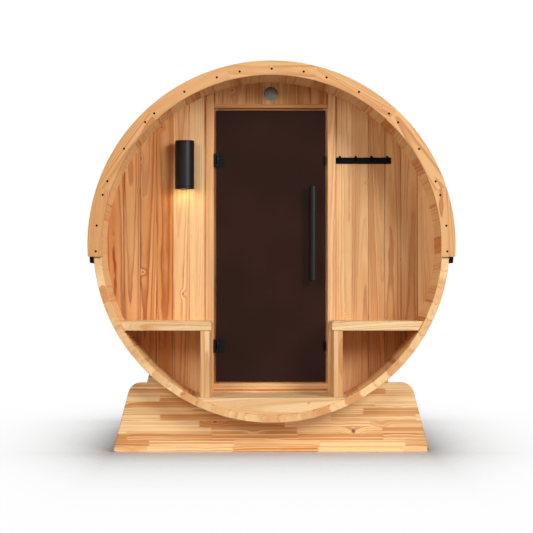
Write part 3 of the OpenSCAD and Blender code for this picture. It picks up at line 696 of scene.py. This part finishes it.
low, high = (half_floor(z) for z in PLANK_Z)
plank = [(-low, PLANK_Z[0]), (low, PLANK_Z[0]), (high, FLOOR_Z), (-high, FLOOR_Z)]
pitch = (PORCH_Y[1] - PORCH_Y[0] + PLANK_GAP) / PORCH_COUNT
planks = Piece()
for k in range(PORCH_COUNT):
    y0 = PORCH_Y[0] + k * pitch
    grain = log(RIGHT, BACK, (0, y0, FLOOR_Z))
    planks.add(bar(plank, y0, y0 + pitch - PLANK_GAP, PORCH_EASE), grain, rng.uniform(*PAINTED_LIGHT_PORCH_TONES))
# The pale seat wood on the porch planks is painted light on their tops
planks.build("porch_planks", seat_wood, "floor_wood", ["porch_floor"])

riser = Piece()
turn = math.degrees(math.asin(high / LINING_R))
outline = arc(LINING_R, 180 + turn, 180 - turn, 49)
grain = log(RIGHT, UP, (0, RISER_Y[0], RISER_MIDDLE_Z), 1.0)
riser.add(bar(outline, *RISER_Y, PORCH_EASE), grain, RISER_TONE)
riser.build("porch_riser_board", floor_wood, "floor_wood", ["porch_riser"])

planks = Piece()
pitch = (2 * low + PLANK_GAP) / CABIN_COUNT
for k in range(CABIN_COUNT):
    x0 = -low + k * pitch
    box_of(planks, (x0, x0 + pitch - PLANK_GAP), CABIN_Y, PLANK_Z, BACK, RIGHT, CABIN_EASE)
planks.build("cabin_planks", floor_wood, "floor_wood", ["cabin_floor"])

# Benches, each a seat of boards that are let in round the jamb, on a leg of two layers
SEAT_TONES, SEAT_LEAN = (0.25, 0.5), 0.1
LEG_TONES, LEG_FLAT = (0.22, 0.5), 0.4
for side, name in SIDES:
    seat = Piece()
    edges = np.linspace(SEAT_Y[0], LEG_Y[1], SEAT_COUNT + 1)
    open_form = (SEAT_X, SEAT_ROUND, CHIN_ROUND, SEAT_EASE)
    tucked_form = (JAMB_OUT + JOINT_GAP, TUCK_ROUND, TUCK_ROUND, TUCK_EASE)
    rows = [(*open_form, y0, y1 - JOINT_GAP) for y0, y1 in zip(edges, edges[1:])]
    rows.append((*tucked_form, edges[-1], SEAT_Y[1]))
    for inner, nose_r, chin_r, ease, y0, y1 in rows:
        rim = [(half_floor(z), z) for z in SEAT_Z]
        nose = arc(nose_r, 0, -90, 9, (inner + nose_r, SEAT_Z[1] - nose_r))
        chin = arc(chin_r, -90, -180, 7, (inner + chin_r, SEAT_Z[0] + chin_r))
        outline = on_side(rim + nose + chin, side)
        grain = log(RIGHT, BACK, (0, y0, SEAT_Z[0]), 1.0, SEAT_LEAN)
        seat.add(bar(outline, y0, y1, ease), grain, rng.uniform(*SEAT_TONES))
    seat.build(name + "_bench_slab", seat_wood, "panel_wood", [name + "_bench_top"])
    leg = Piece()
    layers = np.linspace(*LEG_X, len(LEG_TONES) + 1)
    for x0, x1, tone in zip(layers, layers[1:], LEG_TONES):
        x = (x0, x1) if side > 0 else (-x1, -x0)
        box_of(leg, x, LEG_Y, (FLOOR_Z, SEAT_Z[0]), UP, RIGHT, LEG_EASE, tone, LEG_FLAT)
    leg.build(name + "_bench_leg", floor_wood, "panel_wood", [name + "_bench_side"])


# Fascia, of arched boards that are butted end to end
FASCIA_TONES, FASCIA_FLAT = (0.4, 0.6), 0.8


def fascia(y_face, y_back):
    """The boards of one end of the barrel, from their outer face to their back."""
    boards = Piece()
    inner, outer = FASCIA_R
    y_ease = y_face + np.sign(y_back - y_face) * FASCIA_EASE
    section = [(inner, y_back), (inner, y_ease), (inner + FASCIA_EASE, y_face),
               (outer - FASCIA_EASE, y_face), (outer, y_ease), (outer, y_back)]
    half = FASCIA_SPAN / 2 - math.degrees(FASCIA_JOINT / inner)
    for k in range(FASCIA_COUNT):
        middle = (k - (FASCIA_COUNT - 1) / 2) * FASCIA_SPAN
        rings = []
        for share in np.linspace(0, 1, FASCIA_RINGS):
            ring = []
            for radius, y in section:
                limit = 90 + math.degrees(math.asin((AXIS - FASCIA_LOW) / radius))
                low = -limit if k == 0 else middle - half
                high = limit if k == FASCIA_COUNT - 1 else middle + half
                x, z = on_circle(radius, low + share * (high - low))
                ring.append((x, y, z))
            rings.append(np.array(ring))
        s, c = math.sin(math.radians(middle)), math.cos(math.radians(middle))
        grain = log((c, 0, -s), (s, 0, c), (inner * s, y_face, AXIS + inner * c), FASCIA_FLAT)
        boards.add(loft(rings), grain, rng.uniform(*FASCIA_TONES))
    return boards


for side, name in ENDS:
    y_face = side * (FASCIA_END - SCREW_RISE)
    boards = fascia(y_face, side * BARREL_END)
    boards.build(name + "_fascia_boards", fascia_wood, "stave_wood", [name + "_fascia"])
    rise, crown_r, drive_r = side * SCREW_RISE, 0.85 * SCREW_R, 0.45 * SCREW_R
    crown = ((SCREW_R, -rise), (SCREW_R, 0.4 * rise), (crown_r, rise))
    drive = ((drive_r, rise), (drive_r, 0.3 * rise))
    screws = Piece()
    for angle in sorted({sign * a for a in SCREW_ANGLES for sign in (-1, 1)}):
        x, z = on_circle(SCREW_RING, angle)
        screws.add(lathe(crown + drive, (x, y_face, z), Y, 16))
    screws.build(name + "_fascia_screws", screw_black, "black_metal")


# Roof, of courses of tabs on base strips, and caps along the ridge
STRIP_TONE = 0.2
roof = Piece()
course = math.radians(COURSE_SPAN)
half = ROOF_R * math.tan(course / 2) - JOINT_GAP
layer, butt, head = (ROOF_R + t for t in (LAYER_T, BUTT_T, HEAD_T))
for side in (-1, 1):
    for k in range(COURSE_COUNT):
        angle = math.radians(90 - COURSE_START) - (k + 0.5) * course
        strip = on_side(around(rectangle(-half, half, ROOF_R, layer), angle), side)
        roof.add(bar(strip, -BARREL_END, BARREL_END, STRIP_EASE), tone=STRIP_TONE)
        for start in np.arange(-BARREL_END - (TAB_L / 2 if k % 2 else 0), BARREL_END, TAB_L):
            y0, y1 = max(start, -BARREL_END), min(start + TAB_L - TAB_GAP, BARREL_END)
            if y1 - y0 < TAB_LEAST:
                continue
            edge = half - rng.uniform(0, TAB_STRAY)
            tab = around([(-half, layer), (edge, layer), (edge, butt), (-half, head)], angle)
            roof.add(bar(on_side(tab, side), y0, y1, TAB_EASE))
half = ROOF_R * math.tan(math.radians(RIDGE_HALF)) - JOINT_GAP
pitch = 2 * BARREL_END / CAP_COUNT
for k in range(CAP_COUNT):
    rings = []
    for share, thick in ((CAP_GAP, BUTT_T), (1 - CAP_GAP, HEAD_T)):
        right = [(half, 0), (half, thick - CAP_EASE_Z), (half - CAP_EASE_X, thick)]
        y = -BARREL_END + (k + share) * pitch
        rings.append(np.array([(x, y, AXIS + ROOF_R + z) for x, z in right + flipped(right)]))
    roof.add(loft(rings))
roof.build("shingle_tabs", roofing, "roofing", ["roof_shingles"])


# Saddles, cut from edge-glued panels
PANEL_STARTS, ROW_SHIFT = (5.0, 9.0), 0.004
slope = math.degrees(math.atan2(SADDLE_BASE - SADDLE_TOP, SADDLE_H))
reach = SADDLE_CORNER * math.tan(math.radians((90 - slope) / 2))
toe = SADDLE_FOOT * math.tan(math.radians((90 + slope) / 2))
mouth = math.degrees(math.acos((AXIS - SADDLE_H) / SADDLE_HOLLOW))
foot = arc(SADDLE_FOOT, 180, 90 - slope, 9, (SADDLE_BASE - toe, SADDLE_FOOT))
shoulder = arc(SADDLE_CORNER, 90 - slope, 0, 13, (SADDLE_TOP - reach, SADDLE_H - SADDLE_CORNER))
hollow = arc(SADDLE_HOLLOW, 180 - mouth, 180, 25)
right_half = foot + shoulder + hollow[:-1]
outline = right_half + hollow[-1:] + flipped(right_half)
for (y0, y1), (_, name), start in zip(SADDLE_Y, ENDS, PANEL_STARTS):
    saddle = Piece()
    saddle.add(bar(outline, y0, y1, SADDLE_EASE), panel(RIGHT, UP, (start, ROW_SHIFT, (y0 + y1) / 2)))
    saddle.build(name + "_saddle_panel", panel_wood, "panel_wood", [name + "_saddle"])

# Lamp, a tube with a turned groove near each end
low, high = LAMP_Z
groove_r = LAMP_R - GROOVE_DEPTH
groove = list(zip((LAMP_R, groove_r, groove_r, LAMP_R), GROOVE_STEPS))
bore = [(LAMP_CORE, LENS_TOP), (LAMP_BORE, LENS_TOP), (LAMP_BORE, low + LAMP_BORE_EASE)]
rim = [(LAMP_BORE + LAMP_BORE_EASE, low), (LAMP_R - LAMP_FOOT_EASE, low), (LAMP_R, low + LAMP_FOOT_EASE)]
tube = [(r, low + h) for r, h in groove] + [(r, high - h) for r, h in reversed(groove)]
top = [(LAMP_R, high - LAMP_TOP_EASE), (LAMP_R - LAMP_TOP_EASE, high), (LAMP_CORE, high)]
lamp = Piece()
lamp.add(lathe(bore + rim + tube + top, (LAMP_X, LAMP_Y, 0.0), Z, 72))
lamp.build("lamp_body", satin_black, "black_metal", ["lamp_housing"])

# Vent, with a shallow dome on its disc
DOME_TURN, DOME_RINGS = 88.2, 12
dome = [(VENT_DISC_R, VENT_Y + VENT_EDGE)]
for t in np.radians(np.linspace(0, DOME_TURN, DOME_RINGS)):
    dome.append((VENT_DISC_R * math.cos(t), VENT_Y - VENT_RISE * math.sin(t)))
vent = Piece()
vent.add(lathe(dome, (0.0, 0.0, VENT_Z), Y))
vent.build("vent_dome", vent_steel, "steel")

# Hinges, with a cover over the gap beside the knuckle
covers = Piece()
for z in HINGE_Z:
    outline = rectangle(*HINGE_COVER_X, z - HINGE_COVER_HALF, z + HINGE_COVER_HALF)
    covers.add(bar(outline, *HINGE_COVER_Y, HINGE_COVER_EASE))
covers.build("hinge_covers", hinge_black, "black_metal")


# Solids that keep their shape: a material, and a fine bevel where their edges are sharp
FINE_BEVEL, HINGE_BEVEL, GLASS_BEVEL, BEVEL_ANGLE = 0.001, 0.0015, 0.0012, 40
WELD_REACH = 1e-5


def keep(node, material, ease=None):
    """Dress one of the frame's solids."""
    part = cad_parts[node]
    if not part.material_slots:
        part.data.materials.append(material)
    for slot in part.material_slots:
        slot.material = material
    if ease:
        weld = part.modifiers.new("weld", "WELD")
        weld.merge_threshold = WELD_REACH
        bevel = part.modifiers.new("bevel", "BEVEL")
        bevel.width, bevel.segments, bevel.limit_method = ease, 2, "ANGLE"
        bevel.angle_limit = math.radians(BEVEL_ANGLE)


for node in ("lamp_bracket", "hook_rail", "door_catches", "left_eave_trim", "right_eave_trim"):
    keep(node, matte_black, FINE_BEVEL)
for node in ("hinge_brackets", "hinge_clamps"):
    keep(node, hinge_black, HINGE_BEVEL)
keep("coat_hooks", matte_black)
keep("outer_handle", satin_black)
keep("inner_handle", handle_wood)
keep("floor_bearers", bearer_wood)
keep("steel_bands", band_steel)
keep("vent_cover", vent_steel)
keep("lamp_lens", lamp_glow)
keep("door_glass", tinted_glass, GLASS_BEVEL)


# World, white where it is seen or mirrored, and soft where it lights
SOFT_STRENGTH = 0.13
world = bpy.data.worlds.new("world")
scene.world = world
world.use_nodes = True
tree = world.node_tree
soft, shown = tree.nodes["Background"], tree.nodes.new("ShaderNodeBackground")
soft.inputs["Strength"].default_value = SOFT_STRENGTH
shown.inputs["Color"].default_value = soft.inputs["Color"].default_value = (1.0, 1.0, 1.0, 1.0)
rays, choose = tree.nodes.new("ShaderNodeLightPath"), tree.nodes.new("ShaderNodeMixShader")
seen = rays.outputs["Is Camera Ray"]
for label in ("Is Glossy Ray", "Is Transmission Ray"):
    either = tree.nodes.new("ShaderNodeMath")
    either.operation = "MAXIMUM"
    tree.links.new(seen, either.inputs[0])
    tree.links.new(rays.outputs[label], either.inputs[1])
    seen = either.outputs[0]
for socket, source in enumerate((seen, soft.outputs[0], shown.outputs[0])):
    tree.links.new(source, choose.inputs[socket])
tree.links.new(choose.outputs[0], tree.nodes["World Output"].inputs["Surface"])

# Lights: a key and a fill in front, one behind, and the lamp's own glow
WHITE, WARM = (1.0, 1.0, 1.0), (1.0, 0.70, 0.34)
FRONT_AIM, REAR_AIM = (0.0, -0.9, 1.1), (0.0, 0.9, 1.1)
SOFTBOX = {"shape": "DISK", "size": 3.0}


def lamp_at(name, kind, power, colour, place, target, **settings):
    """A light at a place, turned to a target."""
    data = bpy.data.lights.new(name, kind)
    data.energy, data.color = power, colour
    for label, value in settings.items():
        setattr(data, label, value)
    light = bpy.data.objects.new(name, data)
    scene.collection.objects.link(light)
    light.location = place
    from_to = np.subtract(target, place)
    pitch, yaw = math.atan2(math.hypot(*from_to[:2]), -from_to[2]), math.atan2(from_to[1], from_to[0])
    light.rotation_euler = (pitch, 0.0, yaw - math.pi / 2)
    return light


lamp_at("key", "AREA", 410.0, WHITE, (4.31, -7.06, 3.84), FRONT_AIM, **SOFTBOX)
fill = lamp_at("fill", "AREA", 250.0, WHITE, (-3.76, -7.41, 3.84), FRONT_AIM, **SOFTBOX)
fill.visible_glossy = False
lamp_at("back", "AREA", 250.0, WHITE, (0.0, 6.56, 6.76), REAR_AIM, **SOFTBOX)
bulb = (LAMP_X, LAMP_Y, LAMP_Z[0] + BULB_RISE)
lamp_at("glow", "POINT", 0.26, WARM, bulb, FRONT_AIM, shadow_soft_size=BULB_R)

# Floor: white paper that looks a little greyer than it bounces light, and fades out to the white world
PAPER_R, PAPER_POINTS = 9.0, 96
FADE_FROM, FADE_RATES = (SADDLE_BASE, 1.11), (-3.5, -1.43)
floor_mesh = bpy.data.meshes.new("floor")
turns = np.linspace(0, 2 * math.pi, PAPER_POINTS, endpoint=False)
corners = [(PAPER_R * math.cos(t), PAPER_R * math.sin(t), 0.0) for t in turns]
floor_mesh.from_pydata(corners, [], [tuple(range(PAPER_POINTS))])
floor = bpy.data.objects.new("floor", floor_mesh)
scene.collection.objects.link(floor)
g = Graph("floor_paper", Roughness=0.9, Specular_IOR_Level=0.1)
spot = g.places()
paper = g.noise(spot, 60.0, 3.0)
bounce = g.node("LightPath").outputs["Is Diffuse Ray"]
look = g.mix(paper, srgb(204, 204, 204), srgb(210, 210, 210))
g.dress(g.mix(bounce, look, srgb(252, 252, 252)), None, paper, 0.0005, 0.1)
fades = []
for place, edge, rate in zip(g.split(spot), FADE_FROM, FADE_RATES):
    beyond = g.math("MAXIMUM", g.add(g.math("ABSOLUTE", place), -edge), 0.0)
    fades.append(g.times(beyond, rate))
g.put(g.math("EXPONENT", g.add(*fades)), g.shader.inputs["Alpha"])
floor_mesh.materials.append(g.material)

scene.view_settings.view_transform = "Standard"
